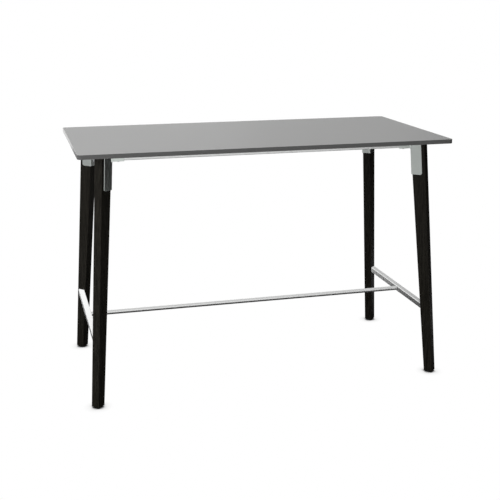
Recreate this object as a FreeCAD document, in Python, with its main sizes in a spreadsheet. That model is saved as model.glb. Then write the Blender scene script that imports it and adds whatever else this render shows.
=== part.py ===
"""Standing-height table: laminate top on four splayed wooden legs, with a metal under-frame and footrest.

The frame has its origin on the floor under the middle of the top, +X along the length of the top,
+Y to the back and +Z up. Each corner has a frame of its own at the head of its leg, level with the
underside of the top: its x axis runs outwards along the diagonal and its y axis across the leg.
Lengths are millimetres and angles degrees.
"""
import FreeCAD, Part
import os

import Sketcher

# Driving sizes: name, value and what it measures.
SIZES = (
    ("top_length", 1600, "table top along X"),
    ("top_depth", 800, "table top along Y"),
    ("table_height", 1080, "floor to the upper face of the top"),
    ("core_thickness", 16.6, "board inside the top"),
    ("laminate_thickness", 0.8, "decorative sheet on the board"),
    ("backer_thickness", 0.6, "balancing sheet under the board"),
    ("band_thickness", 2, "strip round the edge of the top"),
    ("band_corner", 16, "outer corner radius of the top"),
    ("band_bevel", 0.6, "bevel of the upper and lower rims of the strip"),
    ("head_inset_x", 111, "end of the top to the middle of a leg head"),
    ("head_inset_y", 106, "long edge of the top to the middle of a leg head"),
    ("leg_lean_angle", 5, "lean of the outer face of a leg along its diagonal"),
    ("leg_width", 38, "leg across the diagonal"),
    ("head_depth", 60, "leg along the diagonal, inside its bracket"),
    ("foot_depth", 40, "leg along the diagonal, at the foot"),
    ("leg_edge_radius", 2, "rounding of the long edges of a leg"),
    ("bracket_length", 147, "bracket below the underside of the top"),
    ("web_thickness", 4, "bracket wall on the inner face of the leg"),
    ("cheek_thickness", 3, "bracket walls on the sides of the leg"),
    ("cheek_reach", 46, "cheek beyond the inner face of the leg"),
    ("cheek_corner", 10, "radius of the lower outer corner of a cheek"),
    ("web_corner", 2.5, "radius where web and cheeks meet"),
    ("plate_thickness", 4, "upper plate of the bracket"),
    ("leg_fit", 0.1, "clearance of the leg between the cheeks, each side"),
    ("arm_grip", 45, "length of rail that lies in a bracket arm"),
    ("arm_wall", 3, "sides and floor of a bracket arm"),
    ("gusset_inset", 6, "end of the arm to the edge of the gusset plate"),
    ("rail_width", 25, "rail tube across"),
    ("rail_height", 30, "rail tube, upright"),
    ("rail_wall", 2, "wall of the rail tube"),
    ("rail_corner", 3, "outer corner radius of the rail tube"),
    ("rail_fit", 0.2, "clearance of a rail in its arm, each side"),
    ("rail_end_gap", 4, "rail end to the line where the two rails of a corner would meet"),
    ("footrest_height", 290, "floor to the middle of the footrest bars"),
    ("bar_width", 25, "foot bar across"),
    ("bar_height", 25, "foot bar, upright"),
    ("bar_wall", 2, "wall of the foot bar"),
    ("bar_corner", 3, "outer corner radius of the foot bar"),
    ("stretcher_diameter", 20, "tube between the foot bars"),
    ("stretcher_wall", 2, "wall of that tube"),
    ("plug_length", 36, "plug in the mitred end of a foot bar"),
    ("plug_fit", 0.1, "clearance of a plug in its tube, each side"),
    ("screw_fit", 0.1, "clearance of a screw in its hole, each side"),
    ("hanger_diameter", 8, "double-ended bolt between leg and foot bar"),
    ("hanger_in_leg", 28, "length of that bolt in the leg"),
    ("hanger_in_bar", 8.5, "length of that bolt in the foot bar"),
    ("set_screw_diameter", 6, "set screw that clamps the bolt"),
    ("set_screw_place", 4.8, "set screw from the end face of the foot bar"),
    ("set_screw_recess", 0.5, "set screw inside the lower face of the bar"),
    ("stretcher_plug_length", 26, "threaded plug in the end of the stretcher"),
    ("bolt_diameter", 8, "leg bolts and stretcher bolts"),
    ("bolt_head_flats", 13, "heads of the leg bolts across the flats"),
    ("bolt_head_height", 5, "those heads, height"),
    ("leg_bolt_reach", 18, "leg bolt inside the leg"),
    ("leg_bolt_upper", 66, "underside of the top to the upper leg bolt"),
    ("leg_bolt_lower", 122, "underside of the top to the lower leg bolt"),
    ("insert_diameter", 12, "threaded insert for a leg bolt"),
    ("insert_length", 20, "that insert, length"),
    ("stretcher_bolt_reach", 20, "stretcher bolt inside its plug"),
    ("flat_head_diameter", 16, "flat round head of a stretcher bolt"),
    ("flat_head_height", 2, "that head, height"),
    ("socket_flats", 5, "hexagon socket in that head, across its flats"),
    ("socket_depth", 3.5, "that socket, depth"),
    ("rail_screw_diameter", 5, "screw from bracket arm into rail"),
    ("rail_screw_head", 8, "its head across the flats"),
    ("rail_screw_length", 8, "its shank"),
    ("top_screw_diameter", 5, "screw from bracket into the top"),
    ("top_screw_head", 8, "its head across the flats"),
    ("top_screw_length", 17, "its shank"),
    ("top_screw_pilot", 1, "pilot hole beyond the tip of a top screw"),
    ("screw_head_height", 3, "heads of rail screws and top screws"),
    ("top_screw_near", 8, "first top screw from the crotch of the arms"),
    ("top_screw_far", 7, "other top screws from the free edge of the gusset"),
    ("top_screw_spread", 10.5, "other top screws from the diagonal"),
    ("pad_diameter", 26, "glide pad across"),
    ("pad_thickness", 3.5, "glide pad, height"),
    ("pad_chamfer", 0.8, "lower rim of the glide pad"),
    ("flange_thickness", 2.5, "hexagon of the glide stud"),
    ("flange_flats", 13, "hexagon across its flats"),
    ("stud_diameter", 8, "glide stud"),
    ("stud_length", 28, "glide stud above its hexagon"),
    ("spigot_diameter", 6, "end of the stud that turns in the pad"),
    ("spigot_length", 2.2, "that end, length"),
    ("running_fit", 0.05, "clearance of the turning stud, each side"),
    ("stud_room", 2, "bore beyond the end of the stud"),
    ("glide_insert_diameter", 11, "threaded insert in the foot of the leg"),
    ("glide_insert_length", 16, "that insert, length"),
)

# Lines worked out from the driving sizes, each from those above it.
WORKED = (
    ("top_thickness", "sizes.core_thickness + sizes.laminate_thickness + sizes.backer_thickness"),
    ("underside", "sizes.table_height - worked.top_thickness"),
    ("lean", "tan(sizes.leg_lean_angle)"),
    ("head_x", "sizes.top_length / 2 - sizes.head_inset_x"),
    ("head_y", "sizes.top_depth / 2 - sizes.head_inset_y"),
    ("glide_height", "sizes.pad_thickness + sizes.flange_thickness"),
    ("foot_drop", "worked.underside - worked.glide_height"),
    ("foot_outer", "sizes.head_depth / 2 + worked.lean * worked.foot_drop"),
    ("foot_middle", "worked.foot_outer - sizes.foot_depth / 2"),
    ("web_face", "-sizes.head_depth / 2 - sizes.web_thickness"),
    ("web_slope", "sizes.web_thickness * cos(sizes.leg_lean_angle)"),
    ("socket_width", "sizes.leg_width + 2 * (sizes.leg_fit + sizes.cheek_thickness)"),
    ("rail_shift", "-worked.web_face / sqrt(2)"),
    ("rail_x", "worked.head_x - worked.rail_shift"),
    ("rail_y", "worked.head_y - worked.rail_shift"),
    ("rail_start", "worked.rail_shift + sizes.rail_width / 2 + sizes.rail_end_gap"),
    ("arm_end", "worked.rail_start + sizes.arm_grip"),
    ("arm_half", "sizes.rail_width / 2 + sizes.rail_fit + sizes.arm_wall"),
    ("arm_depth", "sizes.rail_height + sizes.arm_wall"),
    ("rail_screw_place", "worked.rail_start + sizes.arm_grip / 2"),
    ("arm_crotch", "-(worked.rail_shift + worked.arm_half) * sqrt(2)"),
    ("gusset_edge", "-(worked.arm_end - sizes.gusset_inset + worked.rail_shift + worked.arm_half) / sqrt(2)"),
    ("gusset_half", "(worked.arm_end - sizes.gusset_inset - worked.rail_shift - worked.arm_half) / sqrt(2)"),
    ("bar_drop", "worked.underside - sizes.footrest_height"),
    ("taper_share", "(worked.bar_drop - sizes.bracket_length) / (worked.foot_drop - sizes.bracket_length)"),
    ("bar_leg_depth", "sizes.head_depth - (sizes.head_depth - sizes.foot_depth) * worked.taper_share"),
    ("bar_middle", "sizes.head_depth / 2 + worked.lean * worked.bar_drop - worked.bar_leg_depth / 2"),
    ("bar_x", "worked.head_x + (worked.bar_middle + sizes.leg_width / 2) / sqrt(2)"),
    ("bar_seat_y", "worked.head_y + (worked.bar_middle - sizes.leg_width / 2) / sqrt(2)"),
    ("stretcher_half", "worked.bar_x - sizes.bar_width / 2"),
    ("set_screw_length", "sizes.bar_height / 2 - sizes.hanger_diameter / 2 - sizes.set_screw_recess"),
)

# Corners: name, side along X, side along Y and the turn of the corner's frame about Z.
CORNERS = (
    ("front_left", -1, -1, -135),
    ("front_right", 1, -1, -45),
    ("back_left", -1, 1, 135),
    ("back_right", 1, 1, 45),
)

# Sides of the prisms that stand for the round shanks, sleeves and holes of the repeated fittings.
FITTING_SIDES = 8
HEAD_SIDES = 6
DISC_SIDES = 24

# How far a direction, and a place in millimetres, may be off and still count as the wanted one.
DIRECTION_SLACK = 1e-6
PLACE_SLACK = 0.01

doc = FreeCAD.newDocument("standing_table")
nodes = {}


def fill_sheet(name, rows):
    """Make a sheet with one aliased cell for each row of name and content."""
    sheet = doc.addObject("Spreadsheet::Sheet", name)
    for line, row in enumerate(rows, start=1):
        sheet.set(f"A{line}", row[0])
        sheet.set(f"B{line}", str(row[1]))
        sheet.setAlias(f"B{line}", row[0])
        if len(row) > 2:
            sheet.set(f"C{line}", row[2])
    doc.recompute()
    return sheet


sizes = fill_sheet("sizes", SIZES)
worked = fill_sheet("worked", [(name, f"={formula}") for name, formula in WORKED])


# Small tools for bodies, sketches and features.

def value(expression):
    """Number that an expression gives with the present sizes."""
    return float(worked.evalExpression(str(expression)))


def new_body(label):
    """Empty body with the given label."""
    body = doc.addObject("PartDesign::Body", label)
    body.Label = label
    return body


def sketch_on(body, name, role):
    """Sketch on one of the body's own origin planes."""
    plane = next(feature for feature in body.Origin.OriginFeatures if feature.Role == role)
    sketch = body.newObject("Sketcher::SketchObject", name)
    sketch.AttachmentSupport = [(plane, "")]
    sketch.MapMode = "FlatFace"
    return sketch


def pin_point(sketch, line, end, x, y):
    """Hold a point of the sketch at the place that two expressions give."""
    for axis, expression in (("X", x), ("Y", y)):
        held = Sketcher.Constraint(f"Distance{axis}", -1, 1, line, end, value(expression))
        number = sketch.addConstraint(held)
        label = f"{axis.lower()}_{line}"
        sketch.renameConstraint(number, label)
        sketch.setExpression(f"Constraints.{label}", expression)


def polygon(sketch, corners):
    """Closed outline through corners given as pairs of expressions."""
    points = [FreeCAD.Vector(value(x), value(y), 0) for x, y in corners]
    first = sketch.GeometryCount
    for start, end in zip(points, points[1:] + points[:1]):
        sketch.addGeometry(Part.LineSegment(start, end), False)
    count = len(points)
    for step in range(count):
        sketch.addConstraint(Sketcher.Constraint("Coincident", first + step, 2, first + (step + 1) % count, 1))
    for step, (x, y) in enumerate(corners):
        pin_point(sketch, first + step, 1, x, y)


def rectangle(sketch, left, right, low, high):
    """Upright rectangle between four expressions."""
    polygon(sketch, [(left, low), (right, low), (right, high), (left, high)])


def circle(sketch, x, y, radius):
    """Circle whose middle and radius are expressions."""
    middle = FreeCAD.Vector(value(x), value(y), 0)
    number = sketch.addGeometry(Part.Circle(middle, FreeCAD.Vector(0, 0, 1), value(radius)), False)
    pin_point(sketch, number, 3, x, y)
    label = f"radius_{number}"
    sketch.renameConstraint(sketch.addConstraint(Sketcher.Constraint("Radius", number, value(radius))), label)
    sketch.setExpression(f"Constraints.{label}", radius)


def pad(sketch, length, symmetric=False, downward=False):
    """Add the sketch's area as a solid of the given length."""
    body = sketch.getParentGeoFeatureGroup()
    feature = body.newObject("PartDesign::Pad", f"{sketch.Name}_pad")
    feature.Profile = sketch
    feature.SideType = "Symmetric" if symmetric else "One side"
    feature.Reversed = downward
    feature.setExpression("Length", length)
    doc.recompute()
    return feature


def pocket(sketch, length, symmetric=False):
    """Cut the sketch's area out of the body, against the sketch's normal unless symmetric."""
    body = sketch.getParentGeoFeatureGroup()
    before = body.Shape.Volume
    feature = body.newObject("PartDesign::Pocket", f"{sketch.Name}_pocket")
    feature.Profile = sketch
    feature.SideType = "Symmetric" if symmetric else "One side"
    feature.setExpression("Length", length)
    doc.recompute()
    if body.Shape.Volume >= before:
        raise RuntimeError(f"{feature.Label} cuts nothing")
    return feature


def prism(body, name, kind, sides, radius, height, place):
    """Regular prism along the z axis of a placement, from the distance of its corners to that axis."""
    feature = body.newObject(f"PartDesign::{kind}Prism", name)
    feature.Polygon = sides
    feature.setExpression("Circumradius", radius)
    feature.setExpression("Height", height)
    feature.setExpression("Placement", place)
    doc.recompute()
    return feature


def bore(body, name, radius, depth, place):
    """Hole for a fitting, along the z axis of a placement given as an expression."""
    before = body.Shape.Volume
    feature = prism(body, name, "Subtractive", FITTING_SIDES, radius, depth, place)
    if body.Shape.Volume >= before:
        raise RuntimeError(f"{feature.Label} cuts nothing")
    return feature


def dress_edges(body, name, kind, size_name, size, wanted):
    """Dress the edges of the body's present shape that a test picks out."""
    tip = body.Tip
    edges = [f"Edge{number}" for number, edge in enumerate(tip.Shape.Edges, start=1) if wanted(edge)]
    if not edges:
        raise RuntimeError(f"{name} finds no edge")
    feature = body.newObject(f"PartDesign::{kind}", name)
    feature.Base = (tip, edges)
    feature.setExpression(size_name, size)
    doc.recompute()
    return feature


def round_edges(body, name, radius, wanted):
    """Round the edges that a test picks out."""
    return dress_edges(body, name, "Fillet", "Radius", radius, wanted)


def bevel_edges(body, name, size, wanted):
    """Bevel the edges that a test picks out."""
    return dress_edges(body, name, "Chamfer", "Size", size, wanted)


def runs_along(edge, axis):
    """True for a straight edge along the given unit vector."""
    if edge.Curve.TypeId != "Part::GeomLine":
        return False
    return abs(abs(edge.Curve.Direction.dot(axis)) - 1) < DIRECTION_SLACK


def near(number, wanted):
    """True where a place is the wanted one."""
    return abs(number - wanted) < PLACE_SLACK


def lies_at(edge, **place):
    """True where the middle of the edge has the given x, y or z."""
    middle = edge.CenterOfMass
    return all(near(getattr(middle, axis), wanted) for axis, wanted in place.items())


def spot(x, y, z, axis="0; 0; 1", turn="0"):
    """Placement expression from a place and a turn about an axis."""
    return f"placement(vector({x}; {y}; {z}); rotation(vector({axis}); {turn}))"


def corner_frame(corner):
    """Placement expression of a corner's frame."""
    _, side_x, side_y, turn = corner
    return spot(f"{side_x} * worked.head_x", f"{side_y} * worked.head_y", "worked.underside", turn=str(turn))


def keep(label, thing, place=None):
    """Place a finished sub-part and list it as a node."""
    thing.Label = label
    if place is not None:
        thing.setExpression("Placement", place)
    nodes[label] = thing


def group(label, model, places):
    """One node of separate solids: the model repeated at each placement expression."""
    copies = []
    for number, place in enumerate(places, start=1):
        copy = doc.addObject("App::Link", f"{label}_{number}")
        copy.LinkedObject = model
        copy.setExpression("Placement", place)
        copies.append(copy)
    gathered = doc.addObject("Part::Compound", label)
    gathered.Links = copies
    keep(label, gathered)


X_AXIS = FreeCAD.Vector(1, 0, 0)
Y_AXIS = FreeCAD.Vector(0, 1, 0)
Z_AXIS = FreeCAD.Vector(0, 0, 1)


# Places that several pieces share.

def arm_point(side, along, offset):
    """Corner-frame point of a bracket arm, from a distance along it and an offset to its outer side."""
    return f"(-({along}) + ({offset})) / sqrt(2)", f"{side} * (({along}) + ({offset})) / sqrt(2)"


def arm_rectangle(sketch, side, start, end, half):
    """Rectangle about the line of the rail that lies in an arm."""
    offsets = (f"-worked.rail_shift - {half}", f"-worked.rail_shift + {half}")
    corners = [arm_point(side, start, offset) for offset in offsets]
    corners += [arm_point(side, end, offset) for offset in reversed(offsets)]
    polygon(sketch, corners)


def rail_screw_points():
    """Corner-frame points of the two rail screws."""
    return [arm_point(side, "worked.rail_screw_place", "-worked.rail_shift") for side in (1, -1)]


def top_screw_points():
    """Corner-frame points of the three top screws."""
    far = "worked.gusset_edge + sizes.top_screw_far"
    near = "worked.arm_crotch - sizes.top_screw_near"
    return [(near, "0"), (far, "sizes.top_screw_spread"), (far, "-sizes.top_screw_spread")]


def leg_bolt_seat(drop, inward):
    """Corner-frame placement on the web, z along the bolt into the leg, from the web's outer face."""
    x = f"worked.web_face + worked.lean * {drop} + ({inward}) * cos(sizes.leg_lean_angle)"
    z = f"-{drop} + ({inward}) * sin(sizes.leg_lean_angle)"
    return spot(x, "0", z, "0; 1; 0", "90 - sizes.leg_lean_angle")


LEG_BOLT_DROPS = ("sizes.leg_bolt_upper", "sizes.leg_bolt_lower")


def bar_side(corner):
    """Side of the leg, in its corner frame, that the foot bar rests on."""
    return -corner[1] * corner[2]


def glide_spot(height):
    """Corner-frame placement on the axis of a glide, at a height above the floor."""
    return spot("worked.foot_middle", "0", f"{height} - worked.underside")


# Table top: board, sheets and edge strip.

def build_sheet(label, low, thickness, holes):
    """Flat layer of the top inside the edge strip, with holes for the top screws."""
    body = new_body(label)
    outline = sketch_on(body, f"{label}_outline", "XY_Plane")
    half_x = "(sizes.top_length / 2 - sizes.band_thickness)"
    half_y = "(sizes.top_depth / 2 - sizes.band_thickness)"
    rectangle(outline, f"-{half_x}", half_x, f"-{half_y}", half_y)
    pad(outline, thickness)
    round_edges(body, f"{label}_corners", "sizes.band_corner - sizes.band_thickness",
                lambda edge: runs_along(edge, Z_AXIS))
    if holes:
        for _, side_x, side_y, turn in CORNERS:
            head = spot(f"{side_x} * worked.head_x", f"{side_y} * worked.head_y", "0", turn=str(turn))
            for x, y in top_screw_points():
                bore(body, f"{label}_hole", "sizes.top_screw_diameter / 2 + sizes.screw_fit",
                     f"{holes} + sizes.backer_thickness", f"{head} * {spot(x, y, '-sizes.backer_thickness')}")
    keep(label, body, spot("0", "0", low))


def build_edge_band():
    """Strip round the board, as high as the whole top."""
    body = new_body("edge_band")
    outline = sketch_on(body, "band_outline", "XY_Plane")
    rectangle(outline, "-sizes.top_length / 2", "sizes.top_length / 2",
              "-sizes.top_depth / 2", "sizes.top_depth / 2")
    pad(outline, "worked.top_thickness")
    round_edges(body, "band_outer_corners", "sizes.band_corner", lambda edge: runs_along(edge, Z_AXIS))
    slab = body.Tip
    ends = [f"Face{number}" for number, face in enumerate(slab.Shape.Faces, start=1)
            if abs(abs(face.normalAt(0, 0).z) - 1) < DIRECTION_SLACK]
    ring = body.newObject("PartDesign::Thickness", "band_ring")
    ring.Base = (slab, ends)
    ring.Reversed = True
    ring.setExpression("Value", "sizes.band_thickness")
    doc.recompute()
    high = value("worked.top_thickness")
    outside_x = value("sizes.top_length / 2")
    outside_y = value("sizes.top_depth / 2")
    corner = value("sizes.band_corner")

    def on_outer_rim(edge):
        """True for the upper and lower edges of the strip's outer face."""
        middle = edge.CenterOfMass
        if not (lies_at(edge, z=0) or lies_at(edge, z=high)):
            return False
        if edge.Curve.TypeId == "Part::GeomCircle":
            return near(edge.Curve.Radius, corner)
        return near(abs(middle.x), outside_x) or near(abs(middle.y), outside_y)

    bevel_edges(body, "band_rims", "sizes.band_bevel", on_outer_rim)
    keep("edge_band", body, spot("0", "0", "worked.underside"))


def build_top():
    """The layers of the top, from below."""
    screw_in_core = ("(sizes.top_screw_length - sizes.plate_thickness - sizes.backer_thickness"
                     " + sizes.top_screw_pilot)")
    build_sheet("top_backer", "worked.underside", "sizes.backer_thickness", "sizes.backer_thickness")
    build_sheet("top_core", "worked.underside + sizes.backer_thickness", "sizes.core_thickness", screw_in_core)
    build_sheet("top_laminate", "sizes.table_height - sizes.laminate_thickness",
                "sizes.laminate_thickness", None)
    build_edge_band()


# Under-frame: rails and corner brackets.

def build_rail(label, half_length, place):
    """Rectangular tube under the top, its upper face at z = 0, with a screw hole near each end."""
    body = new_body(label)
    section = sketch_on(body, f"{label}_section", "YZ_Plane")
    rectangle(section, "-sizes.rail_width / 2", "sizes.rail_width / 2", "-sizes.rail_height", "0")
    pad(section, f"2 * ({half_length})", symmetric=True)
    round_edges(body, f"{label}_edges", "sizes.rail_corner", lambda edge: runs_along(edge, X_AXIS))
    inside = sketch_on(body, f"{label}_inside", "YZ_Plane")
    half = "(sizes.rail_width / 2 - sizes.rail_wall)"
    rectangle(inside, f"-{half}", half, "sizes.rail_wall - sizes.rail_height", "-sizes.rail_wall")
    pocket(inside, f"2 * ({half_length} + sizes.rail_wall)", symmetric=True)
    inset = "(worked.rail_screw_place - worked.rail_start)"
    for side in (1, -1):
        bore(body, f"{label}_hole", "sizes.rail_screw_diameter / 2 + sizes.screw_fit", "3 * sizes.rail_wall",
             spot(f"{side} * ({half_length} - {inset})", "0", "-sizes.rail_height - sizes.rail_wall"))
    keep(label, body, place)


def build_rails():
    """Four rails, each between two brackets."""
    long_half = "worked.head_x - worked.rail_start"
    short_half = "worked.head_y - worked.rail_start"
    build_rail("front_rail", long_half, spot("0", "-worked.rail_y", "worked.underside"))
    build_rail("back_rail", long_half, spot("0", "worked.rail_y", "worked.underside"))
    build_rail("left_rail", short_half, spot("-worked.rail_x", "0", "worked.underside", turn="90"))
    build_rail("right_rail", short_half, spot("worked.rail_x", "0", "worked.underside", turn="90"))


def build_bracket(corner):
    """Cast corner bracket: a leaning socket for the leg head and two arms for the rails."""
    label = f"bracket_{corner[0]}"
    body = new_body(label)
    lean_run = "worked.lean * sizes.bracket_length"
    cheek_edge = "(sizes.cheek_reach - sizes.head_depth / 2)"

    block = sketch_on(body, f"{label}_block", "XZ_Plane")
    polygon(block, [("worked.web_face", "0"), (cheek_edge, "0"),
                    (f"{cheek_edge} + {lean_run}", "-sizes.bracket_length"),
                    (f"worked.web_face + {lean_run}", "-sizes.bracket_length")])
    pad(block, "worked.socket_width", symmetric=True)
    along = FreeCAD.Vector(value("worked.lean"), 0, -1).normalize()
    round_edges(body, f"{label}_web_corners", "sizes.web_corner",
                lambda edge: runs_along(edge, along) and edge.CenterOfMass.x < 0)
    far_x = value(f"{cheek_edge} + {lean_run}")
    low = -value("sizes.bracket_length")
    round_edges(body, f"{label}_cheek_corners", "sizes.cheek_corner",
                lambda edge: runs_along(edge, Y_AXIS) and lies_at(edge, x=far_x, z=low))

    for side in (1, -1):
        arm = sketch_on(body, f"{label}_arm", "XY_Plane")
        arm_rectangle(arm, side, "0", "worked.arm_end", "worked.arm_half")
        pad(arm, "worked.arm_depth", downward=True)
    gusset = sketch_on(body, f"{label}_gusset", "XY_Plane")
    polygon(gusset, [("worked.web_face", "0"), ("worked.gusset_edge", "worked.gusset_half"),
                     ("worked.gusset_edge", "-worked.gusset_half")])
    pad(gusset, "sizes.plate_thickness", downward=True)

    socket = sketch_on(body, f"{label}_socket", "XZ_Plane")
    inner_top = "-sizes.head_depth / 2 + worked.lean * sizes.plate_thickness"
    inner_low = "-sizes.head_depth / 2 + worked.lean * (sizes.bracket_length + sizes.plate_thickness)"
    beyond = "sizes.head_depth + sizes.bracket_length"
    polygon(socket, [(inner_top, "-sizes.plate_thickness"), (beyond, "-sizes.plate_thickness"),
                     (beyond, "-sizes.bracket_length - sizes.plate_thickness"),
                     (inner_low, "-sizes.bracket_length - sizes.plate_thickness")])
    pocket(socket, "sizes.leg_width + 2 * sizes.leg_fit", symmetric=True)
    for side in (1, -1):
        trough = sketch_on(body, f"{label}_trough", "XY_Plane")
        arm_rectangle(trough, side, "worked.rail_start - sizes.rail_fit", "worked.arm_end + sizes.arm_wall",
                      "(sizes.rail_width / 2 + sizes.rail_fit)")
        pocket(trough, "sizes.rail_height")

    for x, y in rail_screw_points():
        bore(body, f"{label}_rail_hole", "sizes.rail_screw_diameter / 2 + sizes.screw_fit",
             "3 * sizes.arm_wall", spot(x, y, "-worked.arm_depth - sizes.arm_wall"))
    for x, y in top_screw_points():
        bore(body, f"{label}_top_hole", "sizes.top_screw_diameter / 2 + sizes.screw_fit",
             "3 * sizes.plate_thickness", spot(x, y, "-2 * sizes.plate_thickness"))
    for drop in LEG_BOLT_DROPS:
        bore(body, f"{label}_bolt_hole", "sizes.bolt_diameter / 2 + sizes.screw_fit",
             "3 * sizes.web_thickness", leg_bolt_seat(drop, "-sizes.web_thickness"))
    keep(label, body, corner_frame(corner))


# Legs.

def build_leg(corner):
    """Wooden leg: parallel head, taper on the inner face below the bracket, bored for its fittings."""
    label = f"leg_{corner[0]}"
    body = new_body(label)
    profile = sketch_on(body, f"{label}_profile", "XZ_Plane")
    half = "sizes.head_depth / 2"
    head_low = f"worked.lean * sizes.bracket_length - {half}"
    polygon(profile, [(f"{half} + worked.lean * sizes.plate_thickness", "-sizes.plate_thickness"),
                      ("worked.foot_outer", "-worked.foot_drop"),
                      ("worked.foot_outer - sizes.foot_depth", "-worked.foot_drop"),
                      (head_low, "-sizes.bracket_length"),
                      (f"worked.lean * sizes.plate_thickness - {half}", "-sizes.plate_thickness")])
    pad(profile, "sizes.leg_width", symmetric=True)
    flank = value("sizes.leg_width / 2")
    round_edges(body, f"{label}_edges", "sizes.leg_edge_radius",
                lambda edge: near(abs(edge.CenterOfMass.y), flank) and edge.BoundBox.ZLength > flank)
    for drop in LEG_BOLT_DROPS:
        bore(body, f"{label}_insert_hole", "sizes.insert_diameter / 2 + sizes.screw_fit",
             "sizes.insert_length + sizes.stud_room", leg_bolt_seat(drop, "worked.web_slope"))
    foot = "worked.glide_height"
    bore(body, f"{label}_glide_hole", "sizes.glide_insert_diameter / 2 + sizes.screw_fit",
         "sizes.glide_insert_length", glide_spot(foot))
    bore(body, f"{label}_stud_hole", around("sizes.stud_diameter / 2 + sizes.screw_fit"),
         "sizes.stud_length + sizes.stud_room", glide_spot(foot))
    side = bar_side(corner)
    bore(body, f"{label}_hanger_hole", "sizes.hanger_diameter / 2 + sizes.screw_fit", "sizes.hanger_in_leg",
         spot("worked.bar_middle", f"{side} * sizes.leg_width / 2", "-worked.bar_drop", "1; 0; 0", f"{side} * 90"))
    keep(label, body, corner_frame(corner))


# Footrest.

def build_foot_bar(label, side):
    """Square tube between two legs, its ends mitred to sit flat on their side faces."""
    body = new_body(label)
    half = "sizes.bar_width / 2"
    outline = sketch_on(body, f"{label}_outline", "XY_Plane")
    polygon(outline, [(f"-{side} * {half}", f"-(worked.bar_seat_y - {half})"),
                      (f"{side} * {half}", f"-(worked.bar_seat_y + {half})"),
                      (f"{side} * {half}", f"worked.bar_seat_y + {half}"),
                      (f"-{side} * {half}", f"worked.bar_seat_y - {half}")])
    pad(outline, "sizes.bar_height", symmetric=True)
    round_edges(body, f"{label}_edges", "sizes.bar_corner", lambda edge: runs_along(edge, Y_AXIS))
    inside = sketch_on(body, f"{label}_inside", "XZ_Plane")
    wide = "(sizes.bar_width / 2 - sizes.bar_wall)"
    high = "(sizes.bar_height / 2 - sizes.bar_wall)"
    rectangle(inside, f"-{wide}", wide, f"-{high}", high)
    pocket(inside, "2 * (worked.bar_seat_y + sizes.bar_width)", symmetric=True)
    bore(body, f"{label}_bolt_hole", "sizes.bolt_diameter / 2 + sizes.screw_fit", "2 * sizes.bar_width",
         spot("-sizes.bar_width", "0", "0", "0; 1; 0", "90"))
    inset = "sizes.set_screw_place / sqrt(2)"
    for end in (1, -1):
        bore(body, f"{label}_clamp_hole", "sizes.set_screw_diameter / 2 + sizes.screw_fit", "3 * sizes.bar_wall",
             spot(f"{side} * {inset}", f"{end} * (worked.bar_seat_y - {inset})",
                  "-sizes.bar_height / 2 - sizes.bar_wall"))
    keep(label, body, spot(f"{side} * worked.bar_x", "0", "sizes.footrest_height"))


def bar_end_places():
    """Placements of the four foot bar ends, x outwards and y from the bar towards the leg."""
    turned_over = " * " + spot("0", "0", "0", "1; 0; 0", "180")
    places = []
    for side in (1, -1):
        turn = "0" if side == 1 else "180"
        for end in (1, -1):
            straight = end * side == 1
            place = spot(f"{side} * worked.bar_x", f"{end} * worked.bar_seat_y", "sizes.footrest_height", turn=turn)
            places.append(place if straight else place + turned_over)
    return places


def build_end_plugs():
    """Mitred plugs in the ends of the foot bars, bored for the hanger bolt and its set screw."""
    model = new_body("end_plug_model")
    wide = "(sizes.bar_width / 2 - sizes.bar_wall - sizes.plug_fit)"
    outline = sketch_on(model, "end_plug_outline", "XY_Plane")
    polygon(outline, [(f"-{wide}", f"-{wide}"), (f"-{wide}", "-sizes.plug_length"),
                      (wide, "-sizes.plug_length"), (wide, wide)])
    pad(outline, "sizes.bar_height - 2 * (sizes.bar_wall + sizes.plug_fit)", symmetric=True)
    into_plug = f"{spot('0', '0', '0', turn='45')} * {spot('0', '0', '0', '1; 0; 0', '90')}"
    bore(model, "end_plug_bolt_hole", "sizes.hanger_diameter / 2 + sizes.screw_fit",
         "sizes.hanger_in_bar + sizes.screw_fit", into_plug)
    inset = "sizes.set_screw_place / sqrt(2)"
    bore(model, "end_plug_clamp_hole", "sizes.set_screw_diameter / 2 + sizes.screw_fit", "sizes.bar_height",
         spot(inset, f"-{inset}", "-sizes.bar_height / 2"))
    group("foot_bar_end_plugs", model, bar_end_places())


def build_stretcher():
    """Round tube between the middles of the two foot bars."""
    body = new_body("stretcher")
    section = sketch_on(body, "stretcher_section", "YZ_Plane")
    circle(section, "0", "0", "sizes.stretcher_diameter / 2")
    circle(section, "0", "0", "sizes.stretcher_diameter / 2 - sizes.stretcher_wall")
    pad(section, "2 * worked.stretcher_half", symmetric=True)
    keep("stretcher", body, spot("0", "0", "sizes.footrest_height"))


# Fittings: each model has its axis on Z, its seat at z = 0 and its tip upwards.

def around(radius):
    """Distance to the corners of a fitting's prism whose sides stand the given radius from its axis."""
    return f"({radius}) / cos(180 / {FITTING_SIDES})"


def screw_model(name, diameter, flats, head_height, length):
    """Screw or bolt with a hexagon head."""
    model = new_body(name)
    prism(model, f"{name}_head", "Additive", HEAD_SIDES, f"{flats} / sqrt(3)", head_height,
          spot("0", "0", f"-{head_height}"))
    prism(model, f"{name}_shank", "Additive", FITTING_SIDES, f"{diameter} / 2", length, spot("0", "0", "0"))
    return model


def flat_bolt_model(name, diameter, length):
    """Bolt with a flat round head and a hexagon socket in it."""
    model = new_body(name)
    top = "-sizes.flat_head_height"
    prism(model, f"{name}_head", "Additive", DISC_SIDES, "sizes.flat_head_diameter / 2", "sizes.flat_head_height",
          spot("0", "0", top))
    prism(model, f"{name}_shank", "Additive", FITTING_SIDES, f"{diameter} / 2", length, spot("0", "0", "0"))
    prism(model, f"{name}_socket", "Subtractive", HEAD_SIDES, "sizes.socket_flats / sqrt(3)", "sizes.socket_depth",
          spot("0", "0", top))
    return model


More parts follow.
